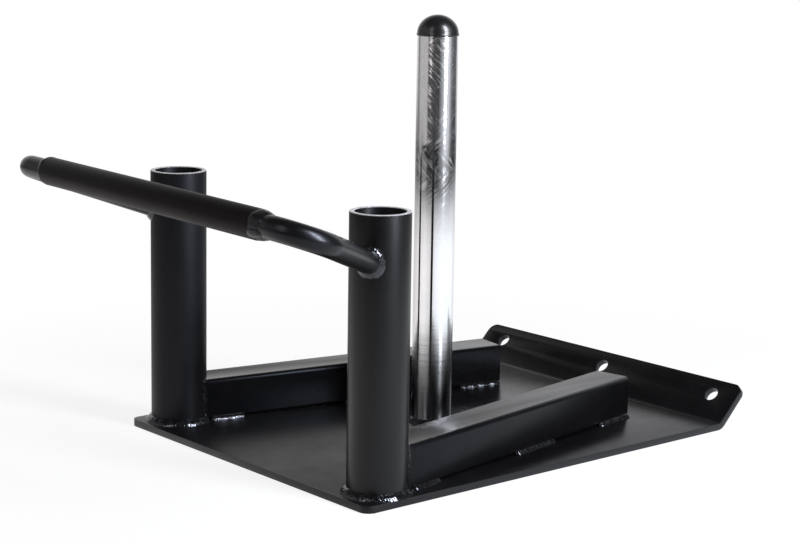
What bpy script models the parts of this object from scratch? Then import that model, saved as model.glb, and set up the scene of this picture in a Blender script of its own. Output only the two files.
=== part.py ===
# Training sled: a bent steel skid plate that carries two pole sockets, two box rails,
# a polished weight post with a domed cap, and a round-bar push handle with a grip sleeve.
# Metres. X runs across the sled, +Y points forward to the raised lip, +Z is up.
import math

import bmesh
import bpy
from mathutils import Matrix, Vector

# Clearance between pieces that touch
GAP = 0.0003
# How far a cutter runs past the faces that it cuts
CUTTER_MARGIN = 0.01

# Skid plate and its raised lip
PLATE_WIDTH = 0.450
PLATE_LENGTH = 0.600
PLATE_THICKNESS = 0.008
PLATE_CORNER_RADIUS = 0.012
LIP_ANGLE = math.radians(45)
LIP_LENGTH = 0.0572
LIP_BEND_RADIUS = 0.008
STRAP_HOLE_DIAMETER = 0.018
STRAP_HOLE_SPACING = 0.187
STRAP_HOLE_RISE = 0.036

# Pole sockets, upright at the rear corners
SOCKET_DIAMETER = 0.066
SOCKET_WALL = 0.0055
SOCKET_HEIGHT = 0.3025
SOCKET_SPACING = 0.374
SOCKET_SETBACK = 0.045
SOCKET_RIM_CHAMFER = 0.0008

# Box rails, from each socket forward, toed in towards the lip
RAIL_WIDTH = 0.050
RAIL_HEIGHT = 0.050
RAIL_WALL = 0.004
RAIL_CORNER_RADIUS = 0.007
RAIL_REACH = 0.444
RAIL_TOE_IN = math.radians(10)
END_PLATE_THICKNESS = 0.004
END_PLATE_RECESS = 0.0005

# Weight post and its cap
POST_DIAMETER = 0.0483
POST_WALL = 0.003
POST_HEIGHT = 0.4646
POST_SETBACK = 0.2845
CAP_BRIM_DIAMETER = 0.0504
CAP_BRIM_THICKNESS = 0.002
CAP_DOME_DIAMETER = 0.049
CAP_DOME_HEIGHT = 0.0221
CAP_STEM_LENGTH = 0.025
CAP_STEM_WALL = 0.003
CAP_STEM_CLEARANCE = 0.0004

# Push handle: a round bar bent into a wide U behind the sockets. It leans down a little to
# the right, and its sleeve sits a little to the right of the middle.
HANDLE_BAR_DIAMETER = 0.025
HANDLE_BEND_RADIUS = 0.0355
HANDLE_SPREAD = 0.572
HANDLE_REACH = 0.1695
HANDLE_JOINT_HEIGHT = 0.2463
HANDLE_RISE = 0.064
HANDLE_LEAN = math.radians(1)
GRIP_DIAMETER = 0.032
GRIP_BORE_CLEARANCE = 0.0004
GRIP_LENGTH = 0.398
GRIP_OFFSET = 0.0075

# Weld beads
BASE_WELD_LEG = 0.007
POST_WELD_LEG = 0.006
STITCH_WELD_LEG = 0.0055
REAR_STITCH_LENGTH = 0.044
MIDDLE_STITCH_START = 0.213
MIDDLE_STITCH_LENGTH = 0.076
FRONT_STITCH_LENGTH = 0.062
GRIP_WELD_DIAMETER = 0.0328
RIGHT_GRIP_WELD_LENGTH = 0.016
LEFT_GRIP_WELD_LENGTH = 0.010
SADDLE_BEAD_RADIUS = 0.003
RAIL_WELD_WRAP = math.radians(60)
# Powers of the sine and cosine in a bead's section: lower is fuller
FILLET_POWER = 1.5
GRIP_WELD_POWER = 0.8

# Facets and shading
ROUND_STEPS = 64
POST_STEPS = 72
HOLE_STEPS = 32
BAR_BEVEL_RESOLUTION = 12
BEAD_BEVEL_RESOLUTION = 4
BEND_STEPS = 10
CORNER_STEPS = 6
BEAD_PROFILE_STEPS = 5
CAP_DOME_STEPS = 10
SADDLE_STEPS = 48
SADDLE_SPACING = 0.005
MERGE_DISTANCE = 0.000001
SMOOTH_ANGLE = math.radians(35)
FLAT_ANGLE = math.radians(0.1)

# Places that follow from the sizes. The origin is under the middle of the whole sled.
SOCKET_X = SOCKET_SPACING / 2
GRIP_REAR = SOCKET_SETBACK - HANDLE_REACH - GRIP_WELD_DIAMETER / 2
REAR_EDGE_Y = -(PLATE_LENGTH + min(0.0, GRIP_REAR)) / 2
SOCKET_Y = REAR_EDGE_Y + SOCKET_SETBACK
POST_Y = REAR_EDGE_Y + POST_SETBACK
SEAT_Z = PLATE_THICKNESS + GAP
RAIL_MIDDLE_Z = SEAT_Z + RAIL_HEIGHT / 2
SOCKET_CLEAR_RADIUS = SOCKET_DIAMETER / 2 + GAP
JOINT_Z = PLATE_THICKNESS + HANDLE_JOINT_HEIGHT

COATING = ((0.018, 0.018, 0.020, 1.0), 0.0, 0.42)
WELD_COATING = ((0.016, 0.016, 0.018, 1.0), 0.0, 0.30)
POLISHED_STEEL = ((0.76, 0.76, 0.77, 1.0), 1.0, 0.14)
CAP_PLASTIC = ((0.012, 0.012, 0.013, 1.0), 0.0, 0.36)


def clear_scene():
    for item in list(bpy.data.objects):
        bpy.data.objects.remove(item, do_unlink=True)


def new_collection(name):
    collection = bpy.data.collections.new(name)
    bpy.context.scene.collection.children.link(collection)
    return collection


clear_scene()
PARTS = new_collection("training_sled")
CUTTERS = new_collection("cutters")


def finish_material(item, finish):
    colour, metallic, roughness = finish
    material = bpy.data.materials.new(item.name)
    material.use_nodes = True
    shader = material.node_tree.nodes["Principled BSDF"]
    shader.inputs["Base Color"].default_value = colour
    shader.inputs["Metallic"].default_value = metallic
    shader.inputs["Roughness"].default_value = roughness
    material.diffuse_color = colour
    item.data.materials.clear()
    item.data.materials.append(material)


def shade_by_angle(mesh):
    mesh.shade_smooth()
    mesh.set_sharp_from_angle(angle=SMOOTH_ANGLE)


def add_part(name, mesh, finish, matrix=None):
    mesh.name = name
    item = bpy.data.objects.new(name, mesh)
    if matrix is not None:
        item.matrix_world = matrix
    PARTS.objects.link(item)
    finish_material(item, finish)
    shade_by_angle(mesh)
    return item


def add_cutter(name, mesh, matrix=None):
    item = bpy.data.objects.new(name, mesh)
    if matrix is not None:
        item.matrix_world = matrix
    CUTTERS.objects.link(item)
    item.hide_render = True
    item.display_type = "WIRE"
    return item


def cut(item, cutter):
    modifier = item.modifiers.new("cut_" + cutter.name, "BOOLEAN")
    modifier.operation = "DIFFERENCE"
    modifier.solver = "EXACT"
    modifier.object = cutter


def mesh_from(bm, name):
    bmesh.ops.recalc_face_normals(bm, faces=bm.faces[:])
    mesh = bpy.data.meshes.new(name)
    bm.to_mesh(mesh)
    bm.free()
    return mesh


def mesh_of_curve(curve):
    # A closed mesh of a curve: evaluated, then its loose caps are welded on.
    item = bpy.data.objects.new(curve.name, curve)
    bpy.context.scene.collection.objects.link(item)
    depsgraph = bpy.context.evaluated_depsgraph_get()
    mesh = bpy.data.meshes.new_from_object(item.evaluated_get(depsgraph))
    bpy.data.objects.remove(item, do_unlink=True)
    bpy.data.curves.remove(curve)
    bm = bmesh.new()
    bm.from_mesh(mesh)
    bmesh.ops.remove_doubles(bm, verts=bm.verts[:], dist=MERGE_DISTANCE)
    bpy.data.meshes.remove(mesh)
    return mesh_from(bm, "welded_curve")


def outline_mesh(name, points, thickness):
    # A flat outline in local XY, thickened evenly along local Z.
    curve = bpy.data.curves.new(name, "CURVE")
    curve.dimensions = "2D"
    curve.fill_mode = "BOTH"
    curve.extrude = thickness / 2
    spline = curve.splines.new("POLY")
    spline.points.add(len(points) - 1)
    for slot, (x, y) in zip(spline.points, points):
        slot.co = (x, y, 0.0, 1.0)
    spline.use_cyclic_u = True
    return mesh_of_curve(curve)


def rod_mesh(name, points, radius, resolution, closed=False):
    # A round rod along a route of points.
    curve = bpy.data.curves.new(name, "CURVE")
    curve.dimensions = "3D"
    curve.bevel_depth = radius
    curve.bevel_resolution = resolution
    curve.use_fill_caps = not closed
    spline = curve.splines.new("POLY")
    spline.points.add(len(points) - 1)
    for slot, point in zip(spline.points, points):
        slot.co = (*point, 1.0)
    spline.use_cyclic_u = closed
    return mesh_of_curve(curve)


def turned_part(name, profile, finish, matrix, steps=ROUND_STEPS, closed=True):
    # A profile of (radius, height) pairs turned about local Z.
    bm = bmesh.new()
    corners = [bm.verts.new((radius, 0.0, height)) for radius, height in profile]
    for start, end in zip(corners, corners[1:]):
        bm.edges.new((start, end))
    if closed:
        bm.edges.new((corners[-1], corners[0]))
    mesh = bpy.data.meshes.new(name)
    bm.to_mesh(mesh)
    bm.free()
    item = add_part(name, mesh, finish, matrix)
    screw = item.modifiers.new("turn", "SCREW")
    screw.steps = steps
    screw.render_steps = steps
    screw.use_merge_vertices = True
    screw.merge_threshold = MERGE_DISTANCE
    return item


def cylinder_cutter(name, radius, bottom, top, place, steps=ROUND_STEPS):
    bm = bmesh.new()
    bmesh.ops.create_cone(
        bm,
        cap_ends=True,
        segments=steps,
        radius1=radius,
        radius2=radius,
        depth=top - bottom,
        matrix=Matrix.Translation((0, 0, (top + bottom) / 2)),
    )
    return add_cutter(name, mesh_from(bm, name), place)


def arc(centre, radius, start, end, steps):
    # Points of a flat arc, from one angle to another.
    points = []
    for step in range(steps + 1):
        angle = start + (end - start) * step / steps
        points.append((centre[0] + radius * math.cos(angle), centre[1] + radius * math.sin(angle)))
    return points


def rounded_box_outline(width, height, radius, steps):
    # Counter-clockwise outline about the middle, starting at the right of the lower side.
    points = []
    right, top = width / 2 - radius, height / 2 - radius
    quarter = math.pi / 2
    for turn, centre in enumerate(((right, -top), (right, top), (-right, top), (-right, -top))):
        points += arc(centre, radius, (turn - 1) * quarter, turn * quarter, steps)
    return points


def divided(points, longest):
    # The same route with extra points on its straights, so that none is longer than given.
    route = [points[0]]
    for start, end in zip(points, points[1:]):
        pieces = math.ceil(math.dist(start, end) / longest)
        for piece in range(1, pieces + 1):
            share = piece / pieces
            route.append(tuple(a + (b - a) * share for a, b in zip(start, end)))
    return route


def bead_profile(inner_radius, base, leg, rise, power=FILLET_POWER):
    # A convex fillet between an upright wall and a flat seat, from its top down to its toe.
    points = []
    for step in range(BEAD_PROFILE_STEPS + 1):
        angle = math.pi / 2 * (1 - step / BEAD_PROFILE_STEPS)
        out = leg * abs(math.cos(angle)) ** power
        up = rise * abs(math.sin(angle)) ** power
        points.append((inner_radius + out, base + up))
    points.append((inner_radius, base))
    return points


def side_name(side):
    return "right" if side > 0 else "left"


def face_name(face, side):
    # A rail's face to the sled's right or left is its outer or inner one.
    return "outer" if face == side else "inner"


def turn_to_side_plane():
    # Local X to world Y, local Y to world Z, local Z to world X.
    return Matrix(((0, 0, 1), (1, 0, 0), (0, 1, 0))).to_4x4()


# Skid plate


def plate_side_outline():
    # The bent sheet seen from its side: X is the distance from the rear edge, Y the height.
    run = Vector((math.cos(LIP_ANGLE), math.sin(LIP_ANGLE)))
    across = Vector((math.sin(LIP_ANGLE), -math.cos(LIP_ANGLE)))
    fold = Vector((fold_distance(), PLATE_THICKNESS))
    lip_end = fold + run * LIP_LENGTH
    tangent = LIP_BEND_RADIUS * math.tan(LIP_ANGLE / 2)
    centre = (fold.x - tangent, PLATE_THICKNESS + LIP_BEND_RADIUS)
    down = -math.pi / 2
    inner = arc(centre, LIP_BEND_RADIUS, down, down + LIP_ANGLE, CORNER_STEPS)
    outer = arc(centre, LIP_BEND_RADIUS + PLATE_THICKNESS, down + LIP_ANGLE, down, CORNER_STEPS)
    outline = [(0.0, 0.0), (0.0, PLATE_THICKNESS)]
    outline += inner
    outline += [tuple(lip_end), tuple(lip_end + across * PLATE_THICKNESS)]
    outline += outer
    return outline


def fold_distance():
    # From the rear edge to the line where the flat top meets the lip's face.
    forward = LIP_LENGTH * math.cos(LIP_ANGLE) + PLATE_THICKNESS * math.sin(LIP_ANGLE)
    return PLATE_LENGTH - forward


def lip_frame(x, rise):
    # A place on the lip's inner face: local X across, local Y up the slope, local Z out of the face.
    origin = Vector((x, REAR_EDGE_Y + fold_distance(), PLATE_THICKNESS))
    turn = Matrix.Rotation(LIP_ANGLE, 4, "X")
    return Matrix.Translation(origin) @ turn @ Matrix.Translation((0, rise, 0))


def round_sheet_corners(mesh, ends, radius):
    # Rounds the edges that run through the sheet's thickness at its two ends. Each end is
    # the middle of that edge in the side outline.
    bm = bmesh.new()
    bm.from_mesh(mesh)
    bmesh.ops.dissolve_limit(bm, angle_limit=FLAT_ANGLE, verts=bm.verts[:], edges=bm.edges[:])
    through = []
    for edge in bm.edges:
        first, second = (vert.co for vert in edge.verts)
        middle = (first + second) / 2
        across = abs(first.z - second.z) < GAP
        if across and min((middle.xy - end).length for end in ends) < GAP:
            through.append(edge)
    bmesh.ops.bevel(
        bm,
        geom=through,
        offset=radius,
        offset_type="OFFSET",
        segments=CORNER_STEPS,
        profile=0.5,
        affect="EDGES",
    )
    bmesh.ops.triangulate(bm, faces=bm.faces[:])
    rounded = mesh_from(bm, mesh.name)
    bpy.data.meshes.remove(mesh)
    return rounded


def build_skid_plate():
    place = Matrix.Translation((0, REAR_EDGE_Y, 0)) @ turn_to_side_plane()
    outline = plate_side_outline()
    mesh = outline_mesh("skid_plate", outline, PLATE_WIDTH)
    lip_end = 2 + CORNER_STEPS + 1
    ends = [(Vector(outline[i]) + Vector(outline[i + 1])) / 2 for i in (0, lip_end)]
    rounded = round_sheet_corners(mesh, ends, PLATE_CORNER_RADIUS)
    plate = add_part("skid_plate", rounded, COATING, place)
    for index in (-1, 0, 1):
        place = lip_frame(index * STRAP_HOLE_SPACING, STRAP_HOLE_RISE)
        name = "strap_hole_" + str(index + 2)
        radius = STRAP_HOLE_DIAMETER / 2
        bottom = -PLATE_THICKNESS - CUTTER_MARGIN
        cut(plate, cylinder_cutter(name, radius, bottom, CUTTER_MARGIN, place, HOLE_STEPS))


# Pole sockets


def build_socket(side):
    outer = SOCKET_DIAMETER / 2
    inner = outer - SOCKET_WALL
    chamfer = SOCKET_RIM_CHAMFER
    profile = [
        (outer - chamfer, SOCKET_HEIGHT),
        (outer, SOCKET_HEIGHT - chamfer),
        (outer, 0.0),
        (inner, 0.0),
        (inner, SOCKET_HEIGHT - chamfer),
        (inner + chamfer, SOCKET_HEIGHT),
    ]
    place = Matrix.Translation((side * SOCKET_X, SOCKET_Y, SEAT_Z))
    turned_part(side_name(side) + "_socket", profile, COATING, place)


# Box rails


def rail_frame(side):
    # Local Y runs forward along the rail from the socket's axis, local X is to the sled's right.
    place = Matrix.Translation((side * SOCKET_X, SOCKET_Y, RAIL_MIDDLE_Z))
    return place @ Matrix.Rotation(side * RAIL_TOE_IN, 4, "Z")


def lengthwise(start, end):
    # Local X across, local Y up and local Z along, for outlines swept along a rail.
    along = Matrix(((-1, 0, 0), (0, 0, 1), (0, 1, 0))).to_4x4()
    return Matrix.Translation((0, (start + end) / 2, 0)) @ along


def build_rail(side):
    name = side_name(side)
    frame = rail_frame(side)
    outline = rounded_box_outline(RAIL_WIDTH, RAIL_HEIGHT, RAIL_CORNER_RADIUS, CORNER_STEPS)
    mesh = outline_mesh(name + "_rail", outline, RAIL_REACH)
    rail = add_part(name + "_rail", mesh, COATING, frame @ lengthwise(0.0, RAIL_REACH))

    bore_width = RAIL_WIDTH - 2 * RAIL_WALL
    bore_height = RAIL_HEIGHT - 2 * RAIL_WALL
    bore_radius = max(RAIL_CORNER_RADIUS - RAIL_WALL, GAP)
    bore = rounded_box_outline(bore_width, bore_height, bore_radius, CORNER_STEPS)
    bore_mesh = outline_mesh(name + "_rail_bore", bore, RAIL_REACH + 2 * CUTTER_MARGIN)
    cut(rail, add_cutter(name + "_rail_bore", bore_mesh, frame @ lengthwise(0.0, RAIL_REACH)))
    cut(rail, socket_envelope(name + "_rail_cope", side))

    plug_width = bore_width - 2 * GAP
    plug_height = bore_height - 2 * GAP
    plug = rounded_box_outline(plug_width, plug_height, bore_radius, CORNER_STEPS)
    front = RAIL_REACH - END_PLATE_RECESS
    plug_name = name + "_rail_end_plate"
    plug_mesh = outline_mesh(plug_name, plug, END_PLATE_THICKNESS)
    plug_place = frame @ lengthwise(front - END_PLATE_THICKNESS, front)
    add_part(plug_name, plug_mesh, COATING, plug_place)


def socket_envelope(name, side):
    # The socket's outside with the usual clearance, for what is coped onto it.
    place = Matrix.Translation((side * SOCKET_X, SOCKET_Y, 0))
    top = SEAT_Z + SOCKET_HEIGHT + CUTTER_MARGIN
    return cylinder_cutter(name, SOCKET_CLEAR_RADIUS, -CUTTER_MARGIN, top, place)


# Weight post and cap


def build_post():
    outer = POST_DIAMETER / 2
    inner = outer - POST_WALL
    profile = [(outer, POST_HEIGHT), (outer, 0.0), (inner, 0.0), (inner, POST_HEIGHT)]
    place = Matrix.Translation((0, POST_Y, SEAT_Z))
    turned_part("weight_post", profile, POLISHED_STEEL, place, POST_STEPS)


def build_post_cap():
    dome = CAP_DOME_DIAMETER / 2
    brim = CAP_BRIM_DIAMETER / 2
    stem = POST_DIAMETER / 2 - POST_WALL - CAP_STEM_CLEARANCE
    hollow = stem - CAP_STEM_WALL
    brim_round = (brim - dome) / 2
    profile = []
    for step in range(CAP_DOME_STEPS + 1):
        angle = math.pi / 2 * (1 - step / CAP_DOME_STEPS)
        height = CAP_BRIM_THICKNESS + CAP_DOME_HEIGHT * math.sin(angle)
        profile.append((dome * math.cos(angle) if step else 0.0, height))
    profile += [
        (brim - brim_round, CAP_BRIM_THICKNESS),
        (brim, CAP_BRIM_THICKNESS - brim_round),
        (brim, 0.0),
        (stem, 0.0),
        (stem, -CAP_STEM_LENGTH),
        (hollow, -CAP_STEM_LENGTH),
        (hollow, CAP_BRIM_THICKNESS),
        (0.0, CAP_BRIM_THICKNESS),
    ]
    place = Matrix.Translation((0, POST_Y, SEAT_Z + POST_HEIGHT + GAP))
    turned_part("post_cap", profile, CAP_PLASTIC, place, closed=False)


# Push handle and grip


def handle_point(x, reach, rise):
    # A place on the handle's centreline, behind and above the line between the socket joints.
    return Vector((x, SOCKET_Y - reach, JOINT_Z + rise - x * math.tan(HANDLE_LEAN)))


def handle_corner(side):
    # Where a leg's centreline would meet the grip's, before the bend is rounded.
    return handle_point(side * HANDLE_SPREAD / 2, HANDLE_REACH, HANDLE_RISE)


def handle_joint(side):
    return handle_point(side * SOCKET_X, 0.0, 0.0)


def rounded_corner(before, corner, after, radius):
    # Points of the arc that rounds a corner of a route in space.
    to_before = (before - corner).normalized()
    to_after = (after - corner).normalized()
    half = to_before.angle(to_after) / 2
    centre = corner + (to_before + to_after).normalized() * (radius / math.sin(half))
    start = corner + to_before * (radius / math.tan(half)) - centre
    end = corner + to_after * (radius / math.tan(half)) - centre
    sweep = start.angle(end)
    points = []
    for step in range(BEND_STEPS + 1):
        angle = sweep * step / BEND_STEPS
        spoke = start * math.sin(sweep - angle) + end * math.sin(angle)
        points.append(centre + spoke / math.sin(sweep))
    return points


def build_push_handle():
    left, right = handle_corner(-1), handle_corner(1)
    left_end, right_end = handle_joint(-1), handle_joint(1)
    route = [left_end]
    route += rounded_corner(left_end, left, right, HANDLE_BEND_RADIUS)
    route += rounded_corner(left, right, right_end, HANDLE_BEND_RADIUS)
    route.append(right_end)
    mesh = rod_mesh("push_handle", route, HANDLE_BAR_DIAMETER / 2, BAR_BEVEL_RESOLUTION)
    handle = add_part("push_handle", mesh, COATING)
    for side in (1, -1):
        cut(handle, socket_envelope(side_name(side) + "_handle_cope", side))


def grip_frame():
    # About the sleeve's middle. Local Z runs along the grip, to the sled's right.
    place = Matrix.Translation(handle_point(0.0, HANDLE_REACH, HANDLE_RISE))
    turn = Matrix.Rotation(math.pi / 2 + HANDLE_LEAN, 4, "Y")
    return place @ turn @ Matrix.Translation((0, 0, GRIP_OFFSET))


def build_grip_sleeve():
    outer = GRIP_DIAMETER / 2
    inner = HANDLE_BAR_DIAMETER / 2 + GRIP_BORE_CLEARANCE
    half = GRIP_LENGTH / 2
    profile = [(outer, half), (outer, -half), (inner, -half), (inner, half)]
    turned_part("grip_sleeve", profile, COATING, grip_frame())


# Weld beads


def build_socket_base_weld(side):
    name = side_name(side) + "_socket_base_weld"
    profile = bead_profile(SOCKET_CLEAR_RADIUS, 0.0, BASE_WELD_LEG, BASE_WELD_LEG)
    place = Matrix.Translation((side * SOCKET_X, SOCKET_Y, SEAT_Z))
    weld = turned_part(name, profile, WELD_COATING, place)
    width = RAIL_WIDTH + 2 * GAP
    height = RAIL_HEIGHT + 2 * GAP
    outline = rounded_box_outline(width, height, GAP, 1)
    mesh = outline_mesh(name + "_rail_space", outline, RAIL_REACH)
    place = rail_frame(side) @ lengthwise(0.0, RAIL_REACH)
    cut(weld, add_cutter(name + "_rail_space", mesh, place))


def build_post_base_weld():
    radius = POST_DIAMETER / 2 + GAP
    profile = bead_profile(radius, 0.0, POST_WELD_LEG, POST_WELD_LEG)
    place = Matrix.Translation((0, POST_Y, SEAT_Z))
    turned_part("post_base_weld", profile, WELD_COATING, place)


def build_grip_weld(side):
    radius = HANDLE_BAR_DIAMETER / 2 + GAP
    leg = GRIP_WELD_DIAMETER / 2 - radius
    start = GRIP_LENGTH / 2 + GAP
    length = RIGHT_GRIP_WELD_LENGTH if side > 0 else LEFT_GRIP_WELD_LENGTH
    profile = bead_profile(radius, start, leg, length, GRIP_WELD_POWER)
    place = grip_frame()
    if side < 0:
        place = place @ Matrix.Rotation(math.pi, 4, "Y")
    turned_part(side_name(side) + "_grip_weld", profile, WELD_COATING, place)


def saddle_route(joint, direction, outline, reach):
    # A route on an upright cylinder of the given reach about the joint's axis, where it meets
    # a prism along direction whose section is outline, as (sideways, up) pairs.
    along = direction.normalized()
    sideways = along.cross(Vector((0, 0, 1))).normalized()
    up = sideways.cross(along)
    flat_along = along.xy
    points = []
    for u, v in outline:
        offset = sideways * u + up * v
        flat = offset.xy
        square = flat_along.length_squared
        mixed = flat.dot(flat_along)
        travel = (-mixed + math.sqrt(mixed**2 - square * (flat.length_squared - reach**2))) / square
        points.append(joint + offset + along * travel)
    return points


def build_handle_weld(side):
    bead = SADDLE_BEAD_RADIUS
    ring = HANDLE_BAR_DIAMETER / 2 + GAP + bead
    circle = arc((0, 0), ring, 0.0, 2 * math.pi, SADDLE_STEPS)[:-1]
    direction = handle_corner(side) - handle_joint(side)
    route = saddle_route(handle_joint(side), direction, circle, SOCKET_CLEAR_RADIUS + bead)
    name = side_name(side) + "_handle_weld"
    add_part(name, rod_mesh(name, route, bead, BEAD_BEVEL_RESOLUTION, closed=True), WELD_COATING)


def build_rail_socket_welds(side):
    # Up each side of the rail against the socket and round the rail's upper corner.
    bead = SADDLE_BEAD_RADIUS
    radius = RAIL_CORNER_RADIUS + GAP + bead
    corner = (RAIL_WIDTH / 2 - RAIL_CORNER_RADIUS, RAIL_HEIGHT / 2 - RAIL_CORNER_RADIUS)
    foot = SEAT_Z + BASE_WELD_LEG + GAP - RAIL_MIDDLE_Z
    wrap = arc(corner, radius, 0.0, RAIL_WELD_WRAP, CORNER_STEPS)
    climb = divided([(wrap[0][0], foot)] + wrap, SADDLE_SPACING)
    frame = rail_frame(side)
    direction = frame.to_3x3() @ Vector((0, 1, 0))
    for face in (1, -1):
        outline = [(face * u, v) for u, v in climb]
        route = saddle_route(frame.translation, direction, outline, SOCKET_CLEAR_RADIUS + bead)
        name = "_".join((side_name(side), "rail", face_name(face, side), "socket_weld"))
        add_part(name, rod_mesh(name, route, bead, BEAD_BEVEL_RESOLUTION), WELD_COATING)


def stitches():
    # Name, start and length of each bead, measured along the rail from the socket's axis.
    toe = SOCKET_CLEAR_RADIUS + BASE_WELD_LEG + GAP
    first = math.sqrt(toe**2 - (RAIL_WIDTH / 2 + GAP) ** 2) + GAP
    return (
        ("rear", first, REAR_STITCH_LENGTH),
        ("middle", MIDDLE_STITCH_START, MIDDLE_STITCH_LENGTH),
        ("front", RAIL_REACH - FRONT_STITCH_LENGTH, FRONT_STITCH_LENGTH),
    )


def build_rail_stitches(side):
    # Short beads between the plate and both lower edges of a rail.
    frame = rail_frame(side)
    profile = bead_profile(0.0, 0.0, STITCH_WELD_LEG, STITCH_WELD_LEG)
    for face in (1, -1):
        outline = [(-face * out, up) for out, up in profile]
        corner = Matrix.Translation((face * (RAIL_WIDTH / 2 + GAP), 0, -RAIL_HEIGHT / 2))
        for place, start, length in stitches():
            name = "_".join((side_name(side), "rail", face_name(face, side), place, "stitch"))
            strip = outline_mesh(name, outline, length)
            add_part(name, strip, WELD_COATING, frame @ corner @ lengthwise(start, start + length))


build_skid_plate()
build_post()
build_post_cap()
build_post_base_weld()
build_push_handle()
build_grip_sleeve()
for SIDE in (1, -1):
    build_socket(SIDE)
    build_rail(SIDE)
    build_socket_base_weld(SIDE)
    build_rail_socket_welds(SIDE)
    build_rail_stitches(SIDE)
    build_handle_weld(SIDE)
    build_grip_weld(SIDE)
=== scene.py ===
# Training sled in a plain studio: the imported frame, its finishes and its fine shapes.
import math

import bmesh
import bpy
from mathutils import Matrix, Vector, noise


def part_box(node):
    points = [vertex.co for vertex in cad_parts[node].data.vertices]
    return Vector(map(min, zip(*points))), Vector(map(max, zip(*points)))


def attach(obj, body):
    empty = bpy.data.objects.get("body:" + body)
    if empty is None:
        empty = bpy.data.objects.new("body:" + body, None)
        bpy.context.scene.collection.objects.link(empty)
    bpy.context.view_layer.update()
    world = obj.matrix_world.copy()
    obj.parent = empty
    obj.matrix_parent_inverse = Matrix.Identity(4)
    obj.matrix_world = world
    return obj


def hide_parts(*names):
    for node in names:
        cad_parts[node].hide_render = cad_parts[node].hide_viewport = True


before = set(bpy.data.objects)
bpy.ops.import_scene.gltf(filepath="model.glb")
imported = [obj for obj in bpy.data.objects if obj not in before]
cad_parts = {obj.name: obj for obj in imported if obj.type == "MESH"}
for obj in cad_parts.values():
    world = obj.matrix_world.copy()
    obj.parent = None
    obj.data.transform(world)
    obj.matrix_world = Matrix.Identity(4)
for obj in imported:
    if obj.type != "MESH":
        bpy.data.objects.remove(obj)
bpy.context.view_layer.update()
print("frame loaded:", len(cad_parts), "nodes")


# Modelling helpers

pickRange = 0.0001         # metres: how near its place a corner must be to be picked
mergeRange = 0.000005      # nearer corners than this become one


def deselectAll():
    if bpy.context.mode != "OBJECT":
        bpy.ops.object.mode_set(mode="OBJECT")
    bpy.ops.object.select_all(action="DESELECT")


def makeActive(obj):
    deselectAll()
    obj.select_set(True)
    bpy.context.view_layer.objects.active = obj


def nameNew(name):
    obj = bpy.context.active_object
    obj.name = name
    obj.data.name = name
    return obj


def editAll(obj):
    makeActive(obj)
    bpy.ops.object.mode_set(mode="EDIT")
    bpy.ops.mesh.select_mode(type="VERT")
    bpy.ops.mesh.select_all(action="SELECT")


def faceOutwards(obj):
    editAll(obj)
    bpy.ops.mesh.remove_doubles(threshold=mergeRange)
    bpy.ops.mesh.normals_make_consistent(inside=False)
    bpy.ops.object.mode_set(mode="OBJECT")


def pickIn(obj, kind, test):
    # edit mode with only the faces, edges or verts that pass the test selected
    if bpy.context.mode != "EDIT_MESH":
        bpy.ops.object.mode_set(mode="EDIT")
    bpy.ops.mesh.select_mode(type=kind)
    bpy.ops.mesh.select_all(action="DESELECT")
    mesh = bmesh.from_edit_mesh(obj.data)
    parts = {"FACE": mesh.faces, "EDGE": mesh.edges, "VERT": mesh.verts}[kind]
    for part in parts:
        if test(part):
            part.select_set(True)
    mesh.select_flush_mode()
    bmesh.update_edit_mesh(obj.data)


def hollow(obj, axis, wall):
    # both end faces are inset and bridged, so that the bar becomes a tube
    pickIn(obj, "FACE", lambda f: abs(f.normal.dot(axis)) > 0.9)
    bpy.ops.mesh.inset(thickness=wall)
    bpy.ops.mesh.bridge_edge_loops()
    faceOutwards(obj)


def settle(obj):
    # place, turn and scale go into the mesh
    makeActive(obj)
    bpy.ops.object.transform_apply(location=True, rotation=True, scale=True)


def applyModifier(obj, kind, **settings):
    makeActive(obj)
    modifier = obj.modifiers.new(kind.lower(), kind)
    for key, value in settings.items():
        setattr(modifier, key, value)
    bpy.ops.object.modifier_apply(modifier=modifier.name)


def cutWith(obj, tool):
    applyModifier(obj, "BOOLEAN", operation="DIFFERENCE", object=tool)
    bpy.data.objects.remove(tool, do_unlink=True)


def roundEdges(obj, width, segments, angle=35):
    applyModifier(obj, "BEVEL", width=width, segments=segments, limit_method="ANGLE",
                  angle_limit=math.radians(angle))


def smooth(obj, angle=35):
    makeActive(obj)
    bpy.ops.object.shade_smooth_by_angle(angle=math.radians(angle))


def boxMiddle(node):
    low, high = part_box(node)
    return (Vector(low) + Vector(high)) / 2


def finishPiece(obj, material, node):
    obj.data.materials.clear()
    obj.data.materials.append(material)
    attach(obj, "root")
    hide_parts(node)


# Material helpers

class Wire:
    # one socket of a material, so that its maths reads as plain sums
    def __init__(self, tree, socket):
        self.tree = tree
        self.socket = socket

    def sum(self, operation, first, second):
        node = self.tree.nodes.new("ShaderNodeMath")
        node.operation = operation
        for slot, value in zip(node.inputs, (first, second)):
            if isinstance(value, Wire):
                self.tree.links.new(value.socket, slot)
            else:
                slot.default_value = value
        return Wire(self.tree, node.outputs[0])

    def __add__(self, other):
        return self.sum("ADD", self, other)

    def __radd__(self, other):
        return self.sum("ADD", other, self)

    def __sub__(self, other):
        return self.sum("SUBTRACT", self, other)

    def __rsub__(self, other):
        return self.sum("SUBTRACT", other, self)

    def __mul__(self, other):
        return self.sum("MULTIPLY", self, other)

    def __rmul__(self, other):
        return self.sum("MULTIPLY", other, self)

    def __truediv__(self, other):
        return self.sum("DIVIDE", self, other)

    def __rtruediv__(self, other):
        return self.sum("DIVIDE", other, self)

    def __gt__(self, other):
        return self.sum("GREATER_THAN", self, other)

    def __lt__(self, other):
        return self.sum("LESS_THAN", self, other)


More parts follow.
